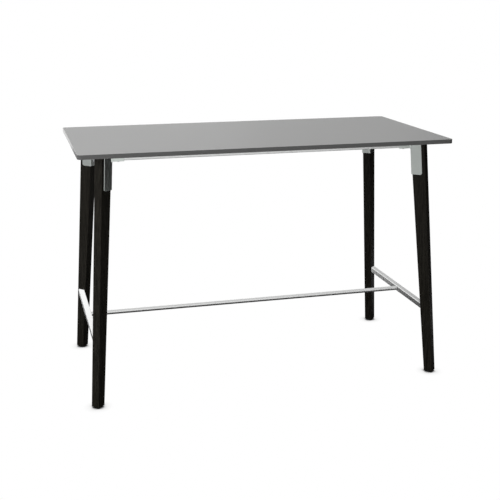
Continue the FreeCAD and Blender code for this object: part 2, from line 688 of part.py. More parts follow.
def sleeve_model(name, outer, inner, length):
    """Sleeve with a bore right through."""
    model = new_body(name)
    prism(model, f"{name}_outside", "Additive", FITTING_SIDES, outer, length, spot("0", "0", "0"))
    bore(model, f"{name}_bore", inner, f"3 * {length}", spot("0", "0", f"-{length}"))
    return model


def pin_model(name, diameter, low, length):
    """Plain pin from a height upwards."""
    model = new_body(name)
    prism(model, f"{name}_shank", "Additive", FITTING_SIDES, f"{diameter} / 2", length, spot("0", "0", low))
    return model


def at_corners(local_places):
    """Corner-frame placements repeated at the four corners."""
    return [f"{corner_frame(corner)} * {place}" for corner in CORNERS for place in local_places]


def build_leg_fixings():
    """Two bolts through each web and the threaded inserts that they hold in."""
    bolt = screw_model("leg_bolt_model", "sizes.bolt_diameter", "sizes.bolt_head_flats",
                       "sizes.bolt_head_height", "worked.web_slope + sizes.leg_bolt_reach")
    insert = sleeve_model("leg_insert_model", "sizes.insert_diameter / 2",
                          "sizes.bolt_diameter / 2 + sizes.screw_fit", "sizes.insert_length")
    group("leg_bolts", bolt, at_corners([leg_bolt_seat(drop, "0") for drop in LEG_BOLT_DROPS]))
    seats = [leg_bolt_seat(drop, "worked.web_slope") for drop in LEG_BOLT_DROPS]
    group("leg_inserts", insert, at_corners(seats))


def build_screws():
    """Screws from the bracket arms into the rails and from the gussets into the top."""
    rail_screw = screw_model("rail_screw_model", "sizes.rail_screw_diameter", "sizes.rail_screw_head",
                             "sizes.screw_head_height", "sizes.rail_screw_length")
    places = [spot(x, y, "-worked.arm_depth") for x, y in rail_screw_points()]
    group("rail_screws", rail_screw, at_corners(places))
    top_screw = screw_model("top_screw_model", "sizes.top_screw_diameter", "sizes.top_screw_head",
                            "sizes.screw_head_height", "sizes.top_screw_length")
    places = [spot(x, y, "-sizes.plate_thickness") for x, y in top_screw_points()]
    group("top_screws", top_screw, at_corners(places))


def build_footrest_fixings():
    """Hanger bolts and set screws at the legs, plugs and bolts at the stretcher."""
    hanger = pin_model("hanger_bolt_model", "sizes.hanger_diameter", "-sizes.hanger_in_leg",
                       "sizes.hanger_in_leg + sizes.hanger_in_bar")
    places = []
    for corner in CORNERS:
        side = bar_side(corner)
        seat = spot("worked.bar_middle", f"{side} * sizes.leg_width / 2", "-worked.bar_drop",
                    "1; 0; 0", f"{-side} * 90")
        places.append(f"{corner_frame(corner)} * {seat}")
    group("foot_bar_hanger_bolts", hanger, places)

    clamp = pin_model("set_screw_model", "sizes.set_screw_diameter", "-worked.set_screw_length",
                      "worked.set_screw_length")
    inset = "sizes.set_screw_place / sqrt(2)"
    places = []
    for side in (1, -1):
        for end in (1, -1):
            places.append(spot(f"{side} * (worked.bar_x + {inset})", f"{end} * (worked.bar_seat_y - {inset})",
                               "sizes.footrest_height - sizes.hanger_diameter / 2"))
    group("foot_bar_set_screws", clamp, places)

    plug = sleeve_model("stretcher_plug_model",
                        "sizes.stretcher_diameter / 2 - sizes.stretcher_wall - sizes.plug_fit",
                        "sizes.bolt_diameter / 2 + sizes.screw_fit", "sizes.stretcher_plug_length")
    bolt = flat_bolt_model("stretcher_bolt_model", "sizes.bolt_diameter",
                           "sizes.bar_width + sizes.stretcher_bolt_reach")
    ends = (("1", "-90"), ("-1", "90"))
    group("stretcher_end_plugs", plug, [
        spot(f"{side} * worked.stretcher_half", "0", "sizes.footrest_height", "0; 1; 0", turn)
        for side, turn in ends])
    group("stretcher_bolts", bolt, [
        spot(f"{side} * (worked.stretcher_half + sizes.bar_width)", "0", "sizes.footrest_height", "0; 1; 0", turn)
        for side, turn in ends])


# Levelling glides.

def build_glide_inserts():
    """Threaded inserts in the feet of the legs."""
    insert = sleeve_model("glide_insert_model", "sizes.glide_insert_diameter / 2",
                          around("sizes.stud_diameter / 2 + sizes.running_fit"), "sizes.glide_insert_length")
    group("glide_inserts", insert, at_corners([glide_spot("worked.glide_height")]))


def build_glide_pad(corner):
    """Round pad that stands on the floor, with a socket for the end of the stud."""
    label = f"glide_pad_{corner[0]}"
    body = new_body(label)
    prism(body, f"{label}_disc", "Additive", DISC_SIDES, "sizes.pad_diameter / 2", "sizes.pad_thickness",
          spot("0", "0", "0"))
    bevel_edges(body, f"{label}_rim", "sizes.pad_chamfer", lambda edge: lies_at(edge, z=0))
    bore(body, f"{label}_socket", around("sizes.spigot_diameter / 2 + sizes.running_fit"), "sizes.pad_thickness",
         spot("0", "0", "sizes.pad_thickness - sizes.spigot_length - sizes.running_fit"))
    keep(label, body, f"{corner_frame(corner)} * {glide_spot('0')}")


def build_glide_stud(corner):
    """Stud that screws into the leg, with a hexagon to turn it and a spigot in the pad."""
    label = f"glide_stud_{corner[0]}"
    body = new_body(label)
    hexagon = sketch_on(body, f"{label}_hexagon", "XY_Plane")
    reach = "sizes.flange_flats / sqrt(3)"
    polygon(hexagon, [(f"{reach} * cos({turn})", f"{reach} * sin({turn})") for turn in range(0, 360, 60)])
    pad(hexagon, "sizes.flange_thickness")
    shank = sketch_on(body, f"{label}_shank", "XY_Plane")
    circle(shank, "0", "0", "sizes.stud_diameter / 2")
    pad(shank, "sizes.flange_thickness + sizes.stud_length")
    spigot = sketch_on(body, f"{label}_spigot", "XY_Plane")
    circle(spigot, "0", "0", "sizes.spigot_diameter / 2")
    pad(spigot, "sizes.spigot_length", downward=True)
    keep(label, body, f"{corner_frame(corner)} * {glide_spot('sizes.pad_thickness')}")


def build_table():
    """Every sub-part, from the top down."""
    build_top()
    build_rails()
    for corner in CORNERS:
        build_bracket(corner)
        build_leg(corner)
        build_glide_pad(corner)
        build_glide_stud(corner)
    build_foot_bar("left_foot_bar", -1)
    build_foot_bar("right_foot_bar", 1)
    build_end_plugs()
    build_stretcher()
    build_leg_fixings()
    build_screws()
    build_footrest_fixings()
    build_glide_inserts()
    doc.recompute()


def check_table():
    """Stop unless every object is sound and every sub-part has a valid shape."""
    for thing in doc.Objects:
        if "Invalid" in thing.State or "Error" in thing.State:
            raise RuntimeError(f"{thing.Label} failed: {thing.State}")
    for label, thing in nodes.items():
        if thing.Shape.isNull() or not thing.Shape.isValid():
            raise RuntimeError(f"{label} has no valid shape")


def write_parts():
    """One STEP file for each sub-part."""
    os.makedirs("parts", exist_ok=True)
    for label, thing in nodes.items():
        thing.Shape.exportStep(os.path.join("parts", f"{label}.step"))
        print(f"{label}: {len(thing.Shape.Solids)} solids, {thing.Shape.Volume / 1000:.1f} cm3")


build_table()
check_table()
write_parts()
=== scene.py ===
"""Looks of the standing-height desk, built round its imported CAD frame.

Lengths are metres in the frame's own axes: +X along the top, +Y to the back, +Z up from the floor.
"""
import logging
import math
from dataclasses import dataclass, field, fields
from enum import Enum

import bmesh
import bpy
from mathutils import Matrix, Vector


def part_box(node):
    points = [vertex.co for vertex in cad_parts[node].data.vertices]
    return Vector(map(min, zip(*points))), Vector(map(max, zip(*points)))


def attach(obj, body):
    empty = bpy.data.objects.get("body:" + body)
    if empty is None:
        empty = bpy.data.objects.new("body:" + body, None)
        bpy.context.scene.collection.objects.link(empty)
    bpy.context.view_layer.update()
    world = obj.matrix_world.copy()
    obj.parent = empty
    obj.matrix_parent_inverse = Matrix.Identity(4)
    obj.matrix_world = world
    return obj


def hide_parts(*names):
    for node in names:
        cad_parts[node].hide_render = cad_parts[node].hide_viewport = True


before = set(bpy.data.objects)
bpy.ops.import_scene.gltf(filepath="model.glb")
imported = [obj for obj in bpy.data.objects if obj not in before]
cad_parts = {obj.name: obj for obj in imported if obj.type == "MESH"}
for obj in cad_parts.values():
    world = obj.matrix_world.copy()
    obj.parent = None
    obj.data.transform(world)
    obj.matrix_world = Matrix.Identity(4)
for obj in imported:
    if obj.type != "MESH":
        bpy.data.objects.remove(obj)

LOG = logging.getLogger("desk")
MM = 0.001
# Points nearer than this are one, and faces that turn by less than this are one.
WELD = 0.02 * MM
FLAT_ANGLE = math.radians(0.4)
# An edge whose ends differ by less than this in height is level.
LEVEL_SLACK = 0.001 * MM
# Bevels of softened edges, and how far a crease is turned beyond the bevelled edges' own limit, in degrees.
BEVEL_SEGMENTS = 2
BEVEL_PROFILE = 0.5
CREASE_MARGIN = 15.0
# Weight at which the larger face alone gives a point its normal.
FULL_WEIGHT = 100
UP = Vector((0.0, 0.0, 1.0))
# Rays to which the world is white and the floor glows white outside its painted shade.
WHITE_RAYS = ("Is Camera Ray", "Is Glossy Ray", "Is Transmission Ray")
# Sockets of a Mix node set to colour, which share their names with its other kinds.
MIX_COLOUR_INPUTS = (0, 6, 7)
MIX_COLOUR_OUTPUT = 2


class Corner(Enum):
    """Corner of the desk, as its side along X and along Y."""

    FRONT_LEFT = (-1, -1)
    FRONT_RIGHT = (1, -1)
    BACK_LEFT = (-1, 1)
    BACK_RIGHT = (1, 1)

    @property
    def tag(self) -> str:
        """Name of the corner in the names of its nodes and bodies."""
        return self.name.lower()

    @property
    def outward(self) -> Vector:
        """Level unit vector from the middle of the desk along the corner's diagonal."""
        return Vector((self.value[0], self.value[1], 0.0)).normalized()


class Slot(Enum):
    """Material slots of the record."""

    LAMINATE = "laminate"
    EDGE_BAND = "edge_band"
    BOARD = "board"
    BACKER = "backer"
    TUBE = "silver_tube"
    CASTING = "silver_casting"
    WOOD = "leg_wood"
    STEEL = "zinc_steel"
    INSERT = "insert"
    PLUG = "plug"
    PLASTIC = "glide_plastic"


class Grain(Enum):
    """Direction in which a finish is drawn out, as the scale of its pattern along X, Y and Z."""

    NONE = (1.0, 1.0, 1.0)
    ALONG_Z = (1.0, 1.0, 0.03)


@dataclass(frozen=True)
class Finish:
    """Surface finish with a fine procedural pattern in its colour, gloss and relief."""

    name: str
    dark: tuple[float, float, float]
    light: tuple[float, float, float]
    roughness: float
    roughness_spread: float = 0.05
    metallic: float = 0.0
    specular: float = 0.5
    pattern_scale: float = 400.0
    detail: float = 4.0
    blend: tuple[float, float] = (0.3, 0.7)
    relief: float = 0.05
    relief_depth: float = 0.05 * MM
    grain: Grain = Grain.NONE

    def material(self) -> bpy.types.Material:
        """Build the material, or return it where it exists.

        Returns:
            The material with its node tree.
        """
        found = bpy.data.materials.get(self.name)
        if found is not None:
            return found
        material = bpy.data.materials.new(self.name)
        material.use_nodes = True
        tree = material.node_tree
        shader = tree.nodes["Principled BSDF"]
        shader.inputs["Metallic"].default_value = self.metallic
        shader.inputs["Specular IOR Level"].default_value = self.specular
        pattern = self._pattern(tree)
        colour = tree.nodes.new("ShaderNodeValToRGB")
        for stop, position, shade in zip(colour.color_ramp.elements, self.blend, (self.dark, self.light)):
            stop.position = position
            stop.color = (*shade, 1.0)
        tree.links.new(pattern, colour.inputs["Fac"])
        tree.links.new(colour.outputs["Color"], shader.inputs["Base Color"])
        gloss = tree.nodes.new("ShaderNodeMapRange")
        gloss.inputs["To Min"].default_value = self.roughness - self.roughness_spread
        gloss.inputs["To Max"].default_value = self.roughness + self.roughness_spread
        tree.links.new(pattern, gloss.inputs["Value"])
        tree.links.new(gloss.outputs["Result"], shader.inputs["Roughness"])
        bump = tree.nodes.new("ShaderNodeBump")
        bump.inputs["Strength"].default_value = self.relief
        bump.inputs["Distance"].default_value = self.relief_depth
        tree.links.new(pattern, bump.inputs["Height"])
        tree.links.new(bump.outputs["Normal"], shader.inputs["Normal"])
        return material

    def _pattern(self, tree: bpy.types.NodeTree) -> bpy.types.NodeSocket:
        """Pattern of the finish, from 0 to 1.

        Args:
            tree: Node tree of the material.

        Returns:
            The socket with the pattern.
        """
        return self._noise(tree, self.pattern_scale)

    def _noise(self, tree: bpy.types.NodeTree, scale: float) -> bpy.types.NodeSocket:
        """Noise on Object coordinates, drawn out along the grain.

        Args:
            tree: Node tree of the material.
            scale: Waves of the noise in a metre across the grain.

        Returns:
            The socket with the noise.
        """
        place = tree.nodes.new("ShaderNodeTexCoord")
        stretch = tree.nodes.new("ShaderNodeMapping")
        stretch.inputs["Scale"].default_value = self.grain.value
        noise = tree.nodes.new("ShaderNodeTexNoise")
        noise.inputs["Scale"].default_value = scale
        noise.inputs["Detail"].default_value = self.detail
        tree.links.new(place.outputs["Object"], stretch.inputs["Vector"])
        tree.links.new(stretch.outputs["Vector"], noise.inputs["Vector"])
        return noise.outputs["Fac"]


@dataclass(frozen=True)
class WoodFinish(Finish):
    """Stained wood with a broad figure and fine pores, both drawn out along the grain."""

    pore_scale: float = 1400.0
    pore_share: float = 0.5

    def _pattern(self, tree: bpy.types.NodeTree) -> bpy.types.NodeSocket:
        """Figure and pores, mixed.

        Args:
            tree: Node tree of the material.

        Returns:
            The socket with the mixed pattern.
        """
        mixed = tree.nodes.new("ShaderNodeMix")
        mixed.inputs["Factor"].default_value = self.pore_share
        tree.links.new(self._noise(tree, self.pattern_scale), mixed.inputs["A"])
        tree.links.new(self._noise(tree, self.pore_scale), mixed.inputs["B"])
        return mixed.outputs["Result"]


LAMINATE = Finish("grey_laminate", (0.338, 0.338, 0.336), (0.367, 0.367, 0.365), roughness=0.46,
                  specular=0.06, pattern_scale=900.0, relief=0.15)
EDGE_BAND = Finish("dark_edge_band", (0.091, 0.091, 0.091), (0.108, 0.108, 0.107), roughness=0.22,
                   pattern_scale=700.0, relief=0.08)
BOARD = Finish("particle_board", (0.30, 0.20, 0.12), (0.52, 0.40, 0.26), roughness=0.8,
               pattern_scale=500.0, relief=0.4, relief_depth=0.2 * MM)
BACKER = Finish("grey_backer", (0.30, 0.30, 0.295), (0.34, 0.34, 0.335), roughness=0.6, pattern_scale=800.0)
TUBE = Finish("satin_silver", (0.78, 0.785, 0.78), (0.84, 0.845, 0.84), roughness=0.36,
              roughness_spread=0.03, metallic=1.0, pattern_scale=600.0, relief=0.01)
CASTING = Finish("cast_silver", (0.70, 0.742, 0.712), (0.76, 0.805, 0.772), roughness=0.30,
                 roughness_spread=0.04, metallic=1.0, pattern_scale=700.0, relief=0.03)
WOOD = WoodFinish("black_stained_wood", (0.0055, 0.0048, 0.0036), (0.0205, 0.0185, 0.0142), roughness=0.40,
                  roughness_spread=0.08, specular=0.09, pattern_scale=220.0, detail=6.0,
                  blend=(0.42, 0.60), relief=0.25, relief_depth=0.15 * MM, grain=Grain.ALONG_Z)
STEEL = Finish("zinc_plating", (0.50, 0.51, 0.53), (0.60, 0.61, 0.62), roughness=0.3, metallic=1.0,
               pattern_scale=1200.0)
BRASS = Finish("bare_brass", (0.55, 0.42, 0.20), (0.66, 0.52, 0.27), roughness=0.35, metallic=1.0,
               pattern_scale=900.0)
PLUG = Finish("machined_aluminium", (0.52, 0.52, 0.52), (0.60, 0.60, 0.60), roughness=0.35, metallic=1.0,
              pattern_scale=1500.0)
PLASTIC = Finish("black_glide_plastic", (0.022, 0.022, 0.022), (0.034, 0.034, 0.034), roughness=0.55,
                 pattern_scale=1500.0, relief=0.2)


def painted(mesh: bpy.types.Mesh, finish: Finish) -> bpy.types.Mesh:
    """Mesh with one finish on all its faces.

    Args:
        mesh: Mesh to paint.
        finish: Finish that its faces take.

    Returns:
        The same mesh.
    """
    mesh.materials.clear()
    mesh.materials.append(finish.material())
    return mesh


def dress_node(node: str, finish: Finish) -> None:
    """Give a CAD node its finish.

    Args:
        node: Name of the node.
        finish: Finish that its surfaces take.
    """
    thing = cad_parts[node]
    thing.visible_glossy = False
    painted(thing.data, finish)
    LOG.info("dressed %s with %s", node, finish.name)


def add_piece(name: str, mesh: bpy.types.Mesh, body: str, replaced: str) -> None:
    """Put a finished mesh into the scene as a piece that rides on a body.

    Args:
        name: Name of the piece.
        mesh: Mesh in the frame's axes.
        body: Body that carries it.
        replaced: CAD node that it stands for.
    """
    piece = bpy.data.objects.new(name, mesh)
    piece.visible_glossy = False
    bpy.context.scene.collection.objects.link(piece)
    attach(piece, body)
    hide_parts(replaced)
    LOG.info("built %s with %d faces", name, len(mesh.polygons))


def softened_copy(node: str, edge: float, sharp: float) -> bpy.types.Mesh:
    """Copy of a CAD node with a small bevel on its sharp edges.

    Args:
        node: Name of the node.
        edge: Width of the bevel.
        sharp: Smallest angle, in degrees, of an edge that is bevelled.

    Returns:
        The bevelled mesh, smooth over its rounded faces.
    """
    shape = bmesh.new()
    shape.from_mesh(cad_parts[node].data)
    bmesh.ops.remove_doubles(shape, verts=shape.verts, dist=WELD)
    bmesh.ops.dissolve_limit(shape, angle_limit=FLAT_ANGLE, verts=shape.verts, edges=shape.edges)
    edges = [line for line in shape.edges
             if len(line.link_faces) == 2 and line.calc_face_angle() > math.radians(sharp)]
    bmesh.ops.bevel(shape, geom=edges, offset=edge, segments=BEVEL_SEGMENTS, profile=BEVEL_PROFILE,
                    affect="EDGES", clamp_overlap=True)
    bmesh.ops.remove_doubles(shape, verts=shape.verts, dist=WELD)
    bmesh.ops.dissolve_degenerate(shape, dist=WELD, edges=shape.edges)
    mesh = bpy.data.meshes.new(f"{node}_soft")
    shape.to_mesh(mesh)
    shape.free()
    mesh.shade_smooth()
    mesh.set_sharp_from_angle(angle=math.radians(sharp + CREASE_MARGIN))
    return evenly_shaded(mesh)


def evenly_shaded(mesh: bpy.types.Mesh) -> bpy.types.Mesh:
    """Mesh whose large flat faces keep their own direction beside the rounded edges.

    Args:
        mesh: Smooth-shaded mesh.

    Returns:
        A copy with normals weighted by face area.
    """
    holder = bpy.data.objects.new(f"{mesh.name}_holder", mesh)
    bpy.context.scene.collection.objects.link(holder)
    weighting = holder.modifiers.new("even", "WEIGHTED_NORMAL")
    weighting.keep_sharp = True
    weighting.weight = FULL_WEIGHT
    graph = bpy.context.evaluated_depsgraph_get()
    even = bpy.data.meshes.new_from_object(holder.evaluated_get(graph))
    bpy.data.objects.remove(holder)
    return even


@dataclass(frozen=True)
class ScrewSizes:
    """Sizes of a hexagon-headed screw, named as the inputs of its node tree."""

    flats: float
    head_height: float
    washer_radius: float
    washer_height: float
    shank_radius: float
    shank_length: float

    @staticmethod
    def input_name(size: str) -> str:
        """Name of the tree's input for a size."""
        return size.replace("_", " ").title()

    def inputs(self) -> dict[str, float]:
        """Values by the names of the tree's inputs."""
        return {self.input_name(size.name): getattr(self, size.name) for size in fields(self)}


class ScrewNodes:
    """Node tree that sets a screw on each point of a mesh, along the point's own axis."""

    HEAD_SIDES = 6
    ROUND_SIDES = 32
    CHAMFER = 0.5 * MM
    CHAMFER_SHARE = 0.88
    # A face of the head whose normal is lower than this along its axis is its free end.
    FREE_END = -0.5
    CREASE = math.radians(40)

    def __init__(self) -> None:
        """Build the tree."""
        self.tree = bpy.data.node_groups.new("screws_on_points", "GeometryNodeTree")
        self._declare()
        self._build()

    def _declare(self) -> None:
        interface = self.tree.interface
        interface.new_socket("Geometry", in_out="INPUT", socket_type="NodeSocketGeometry")
        for size in fields(ScrewSizes):
            name = ScrewSizes.input_name(size.name)
            interface.new_socket(name, in_out="INPUT", socket_type="NodeSocketFloat")
        interface.new_socket("Material", in_out="INPUT", socket_type="NodeSocketMaterial")
        interface.new_socket("Geometry", in_out="OUTPUT", socket_type="NodeSocketGeometry")

    def _math(self, operation: str, first: object, second: object) -> bpy.types.NodeSocket:
        """Math node on two sockets or numbers.

        Args:
            operation: Name of the operation.
            first: Socket or number.
            second: Socket or number.

        Returns:
            The socket with the result.
        """
        node = self.tree.nodes.new("ShaderNodeMath")
        node.operation = operation
        for socket, value in zip(node.inputs, (first, second)):
            if isinstance(value, bpy.types.NodeSocket):
                self.tree.links.new(value, socket)
            else:
                socket.default_value = value
        return node.outputs[0]

    def _drum(self, sides: int, radius: object, depth: object, middle: object) -> bpy.types.NodeSocket:
        """Prism on the z axis.

        Args:
            sides: Number of its sides.
            radius: Socket with the distance of its corners from the axis.
            depth: Socket with its height.
            middle: Socket with the height of its middle.

        Returns:
            The socket with its mesh.
        """
        nodes, links = self.tree.nodes, self.tree.links
        drum = nodes.new("GeometryNodeMeshCylinder")
        drum.inputs["Vertices"].default_value = sides
        links.new(radius, drum.inputs["Radius"])
        links.new(depth, drum.inputs["Depth"])
        place = nodes.new("ShaderNodeCombineXYZ")
        links.new(middle, place.inputs["Z"])
        move = nodes.new("GeometryNodeTransform")
        links.new(drum.outputs["Mesh"], move.inputs["Geometry"])
        links.new(place.outputs["Vector"], move.inputs["Translation"])
        return move.outputs["Geometry"]

    def _chamfered(self, head: bpy.types.NodeSocket) -> bpy.types.NodeSocket:
        """Head with a chamfer round its free end.

        Args:
            head: Socket with the prism of the head.

        Returns:
            The socket with the chamfered head.
        """
        nodes, links = self.tree.nodes, self.tree.links
        facing = nodes.new("GeometryNodeInputNormal")
        parts = nodes.new("ShaderNodeSeparateXYZ")
        links.new(facing.outputs["Normal"], parts.inputs["Vector"])
        free_end = self._math("LESS_THAN", parts.outputs["Z"], self.FREE_END)
        rise = nodes.new("GeometryNodeExtrudeMesh")
        rise.inputs["Individual"].default_value = False
        rise.inputs["Offset Scale"].default_value = self.CHAMFER
        links.new(head, rise.inputs["Mesh"])
        links.new(free_end, rise.inputs["Selection"])
        narrow = nodes.new("GeometryNodeScaleElements")
        narrow.inputs["Scale"].default_value = self.CHAMFER_SHARE
        links.new(rise.outputs["Mesh"], narrow.inputs["Geometry"])
        links.new(rise.outputs["Top"], narrow.inputs["Selection"])
        return narrow.outputs["Geometry"]

    def _build(self) -> None:
        """Join head, washer and shank, and set the screw on each point."""
        nodes, links = self.tree.nodes, self.tree.links
        given = nodes.new("NodeGroupInput")
        result = nodes.new("NodeGroupOutput")
        sizes = given.outputs
        half_head = self._math("MULTIPLY", sizes["Head Height"], -0.5)
        head_radius = self._math("DIVIDE", sizes["Flats"], math.sqrt(3))
        head = self._chamfered(self._drum(self.HEAD_SIDES, head_radius, sizes["Head Height"], half_head))
        washer = self._drum(self.ROUND_SIDES, sizes["Washer Radius"], sizes["Washer Height"],
                            self._math("MULTIPLY", sizes["Washer Height"], -0.5))
        shank = self._drum(self.ROUND_SIDES, sizes["Shank Radius"], sizes["Shank Length"],
                           self._math("MULTIPLY", sizes["Shank Length"], 0.5))
        join = nodes.new("GeometryNodeJoinGeometry")
        for mesh in (head, washer, shank):
            links.new(mesh, join.inputs["Geometry"])
        axis = nodes.new("GeometryNodeInputNamedAttribute")
        axis.data_type = "FLOAT_VECTOR"
        axis.inputs["Name"].default_value = "axis"
        turn = nodes.new("FunctionNodeAlignRotationToVector")
        turn.axis = "Z"
        links.new(axis.outputs["Attribute"], turn.inputs["Vector"])
        spread = nodes.new("GeometryNodeInstanceOnPoints")
        links.new(sizes["Geometry"], spread.inputs["Points"])
        links.new(join.outputs["Geometry"], spread.inputs["Instance"])
        links.new(turn.outputs["Rotation"], spread.inputs["Rotation"])
        real = nodes.new("GeometryNodeRealizeInstances")
        links.new(spread.outputs["Instances"], real.inputs["Geometry"])
        paint = nodes.new("GeometryNodeSetMaterial")
        links.new(real.outputs["Geometry"], paint.inputs["Geometry"])
        links.new(sizes["Material"], paint.inputs["Material"])
        links.new(paint.outputs["Geometry"], result.inputs["Geometry"])

    def mesh(self, name: str, seats: list[tuple[Vector, Vector]], sizes: ScrewSizes,
             finish: Finish) -> bpy.types.Mesh:
        """Plain mesh of the screws.

        Args:
            name: Name of the mesh.
            seats: Middle of each head's seat and the direction of its shank.
            sizes: Sizes of the screw.
            finish: Finish of the screws.

        Returns:
            The realised mesh.
        """
        points = bpy.data.meshes.new(f"{name}_seats")
        points.from_pydata([tuple(place) for place, _ in seats], [], [])
        held = points.attributes.new("axis", "FLOAT_VECTOR", "POINT")
        for number, (_, axis) in enumerate(seats):
            held.data[number].vector = axis
        holder = bpy.data.objects.new(f"{name}_holder", points)
        bpy.context.scene.collection.objects.link(holder)
        modifier = holder.modifiers.new("screws", "NODES")
        modifier.node_group = self.tree
        values: dict[str, object] = dict(sizes.inputs())
        values["Material"] = finish.material()
        for socket in self.tree.interface.items_tree:
            if socket.in_out == "INPUT" and socket.name in values:
                modifier[socket.identifier] = values[socket.name]
        graph = bpy.context.evaluated_depsgraph_get()
        mesh = bpy.data.meshes.new_from_object(holder.evaluated_get(graph))
        holder.modifiers.remove(modifier)
        bpy.data.objects.remove(holder)
        mesh.name = name
        mesh.set_sharp_from_angle(angle=self.CREASE)
        return mesh


@dataclass
class CornerPlan:
    """Where the head of each leg stands and how it leans, as the frame's source has it."""

    head_x: float = 689 * MM
    head_y: float = 294 * MM
    underside: float = 1062 * MM
    lean: float = math.radians(5)
    web_face: float = 34 * MM

    @property
    def rail_axis(self) -> float:
        """Distance of a rail's axis from the head of the leg."""
        return self.web_face / math.sqrt(2)

    def point(self, corner: Corner, out: float, side: float, drop: float) -> Vector:
        """Point in a corner's frame.

        Args:
            corner: The corner.
            out: Distance outwards along the diagonal.
            side: Distance across it.
            drop: Distance below the underside of the top.

        Returns:
            The point in the frame's axes.
        """
        outward = corner.outward
        across = Vector((-outward.y, outward.x, 0.0))
        head = Vector((corner.value[0] * self.head_x, corner.value[1] * self.head_y, self.underside))
        return head + outward * out + across * side - Vector((0.0, 0.0, drop))

    def into_leg(self, corner: Corner) -> Vector:
        """Unit vector square to the web, from the inside of the desk into the leg."""
        return corner.outward * math.cos(self.lean) + Vector((0.0, 0.0, math.sin(self.lean)))


@dataclass
class TableTop:
    """Board with its sheets and edge strip."""

    finishes: dict[str, Finish] = field(default_factory=lambda: {
        "top_core": BOARD, "top_laminate": LAMINATE, "top_backer": BACKER, "edge_band": EDGE_BAND})

    def dress(self) -> None:
        """Give the layers their finishes."""
        for node, finish in self.finishes.items():
            dress_node(node, finish)


@dataclass
class UnderFrame:
    """Rails, corner brackets and the screws that hold them."""

    plan: CornerPlan
    screws: ScrewNodes
    casting_edge: float = 0.7 * MM
    casting_sharp: float = 32.0
    arm_depth: float = 33 * MM
    rail_screw_along: float = 63.042 * MM
    plate: float = 4 * MM
    gusset_near: float = 64.2 * MM
    gusset_far: float = 77.35 * MM
    gusset_spread: float = 10.5 * MM
    rail_screw: ScrewSizes = ScrewSizes(8 * MM, 3 * MM, 4.6 * MM, 0.8 * MM, 2.4 * MM, 8 * MM)
    top_screw: ScrewSizes = ScrewSizes(8 * MM, 3 * MM, 4.6 * MM, 0.8 * MM, 2.4 * MM, 17 * MM)

    def build(self) -> None:
        """Dress the rails, soften the castings and set the screws."""
        for node in ("front_rail", "back_rail", "left_rail", "right_rail"):
            dress_node(node, TUBE)
        for corner in Corner:
            node = f"bracket_{corner.tag}"
            mesh = painted(softened_copy(node, self.casting_edge, self.casting_sharp), CASTING)
            add_piece(f"casting_{corner.tag}", mesh, "table", node)
        rail_seats = [(place, UP) for place in self._rail_seats()]
        add_piece("rail_screw_set", self.screws.mesh("rail_screw_set", rail_seats, self.rail_screw, STEEL),
                  "table", "rail_screws")
        top_seats = [(place, UP) for place in self._top_seats()]
        add_piece("top_screw_set", self.screws.mesh("top_screw_set", top_seats, self.top_screw, STEEL),
                  "table", "top_screws")

    def _rail_seats(self) -> list[Vector]:
        """Seats of the rail screws under the bracket arms."""
        out = -(self.rail_screw_along + self.plan.rail_axis) / math.sqrt(2)
        side = (self.rail_screw_along - self.plan.rail_axis) / math.sqrt(2)
        return [self.plan.point(corner, out, turn * side, self.arm_depth)
                for corner in Corner for turn in (1, -1)]

    def _top_seats(self) -> list[Vector]:
        """Seats of the top screws under the gusset plates."""
        spots = ((-self.gusset_near, 0.0), (-self.gusset_far, self.gusset_spread),
                 (-self.gusset_far, -self.gusset_spread))
        return [self.plan.point(corner, out, side, self.plate) for corner in Corner for out, side in spots]


@dataclass
class Legs:
    """Wooden legs and the bolts that hold their heads."""

    plan: CornerPlan
    screws: ScrewNodes
    foot_edge: float = 0.5 * MM
    foot_sharp: float = 60.0
    drops: tuple[float, float] = (66 * MM, 122 * MM)
    bolt: ScrewSizes = ScrewSizes(13 * MM, 5 * MM, 8 * MM, 1.4 * MM, 3.9 * MM, 21.9 * MM)

    def build(self) -> None:
        """Soften and stain the legs and set their bolts."""
        for corner in Corner:
            node = f"leg_{corner.tag}"
            mesh = painted(softened_copy(node, self.foot_edge, self.foot_sharp), WOOD)
            add_piece(f"stained_leg_{corner.tag}", mesh, "table", node)
        seats = [(self._seat(corner, drop), self.plan.into_leg(corner))
                 for corner in Corner for drop in self.drops]
        add_piece("leg_bolt_set", self.screws.mesh("leg_bolt_set", seats, self.bolt, STEEL),
                  "table", "leg_bolts")
        for node in ("leg_inserts", "glide_inserts"):
            dress_node(node, BRASS)

    def _seat(self, corner: Corner, drop: float) -> Vector:
        """Seat of a bolt on the outer face of the web."""
        return self.plan.point(corner, math.tan(self.plan.lean) * drop - self.plan.web_face, 0.0, drop)


@dataclass
class Footrest:
    """Bars between the legs of each end, the stretcher between them and their fixings."""

    head_edge: float = 0.25 * MM
    head_sharp: float = 50.0

    def build(self) -> None:
        """Dress the tubes and their fixings and soften the flat heads of the stretcher's bolts."""
        for node in ("left_foot_bar", "right_foot_bar", "stretcher"):
            dress_node(node, TUBE)
        for node in ("foot_bar_end_plugs", "stretcher_end_plugs"):
            dress_node(node, PLUG)
        for node in ("foot_bar_hanger_bolts", "foot_bar_set_screws"):
            dress_node(node, STEEL)
        bolts = painted(softened_copy("stretcher_bolts", self.head_edge, self.head_sharp), STEEL)
        add_piece("stretcher_bolt_set", bolts, "table", "stretcher_bolts")


